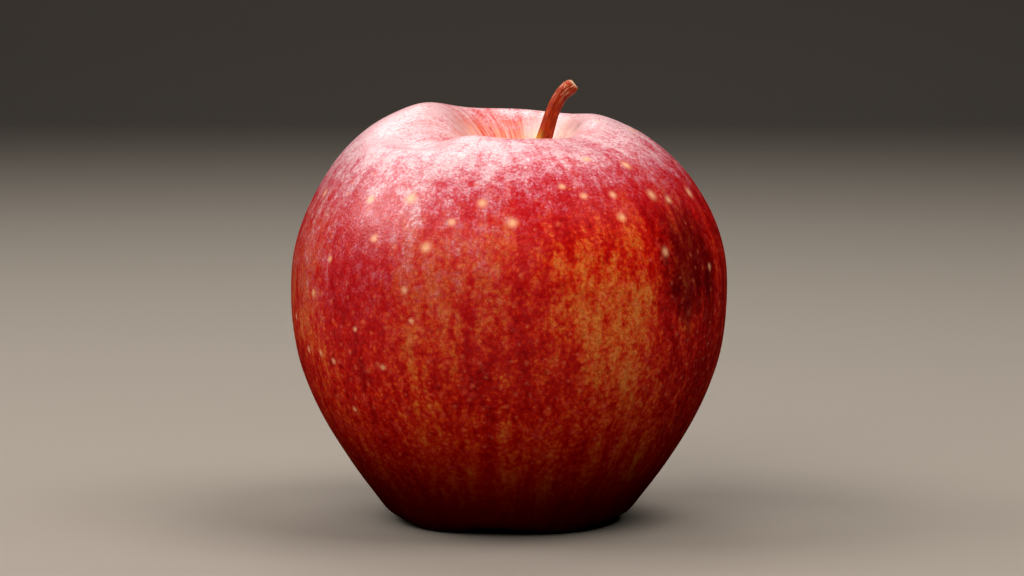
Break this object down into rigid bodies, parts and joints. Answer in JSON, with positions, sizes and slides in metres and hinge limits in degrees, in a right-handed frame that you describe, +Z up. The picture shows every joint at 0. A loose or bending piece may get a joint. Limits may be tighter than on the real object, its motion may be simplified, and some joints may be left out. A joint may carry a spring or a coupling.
{
  "type": "apple",
  "caption": "Whole ripe round-conic dessert apple, red over golden yellow, with its stem in a deep cavity and dried sepals in a ribbed basin underneath.",
  "frame": {"origin": "on the surface that the apple stands on, under the middle of its girth", "axes": "+Z up through the stem cavity, +X towards the side that the stem leans to"},
  "size_m": [0.0748, 0.0748, 0.0756],
  "materials": {
    "skin": "waxy, satin gloss, streaked red over golden yellow",
    "stem_bark": "dry woody bark",
    "dry_sepal": "dry, papery and downy",
    "dry_stamen": "dry threads"
  },
  "bodies": {
    "root": {"fruit": "skin", "stem": "stem_bark", "sepal_1": "dry_sepal", "sepal_2": "dry_sepal", "sepal_3": "dry_sepal", "sepal_4": "dry_sepal", "sepal_5": "dry_sepal", "stamen_tuft": "dry_stamen"}
  },
  "joints": []
}
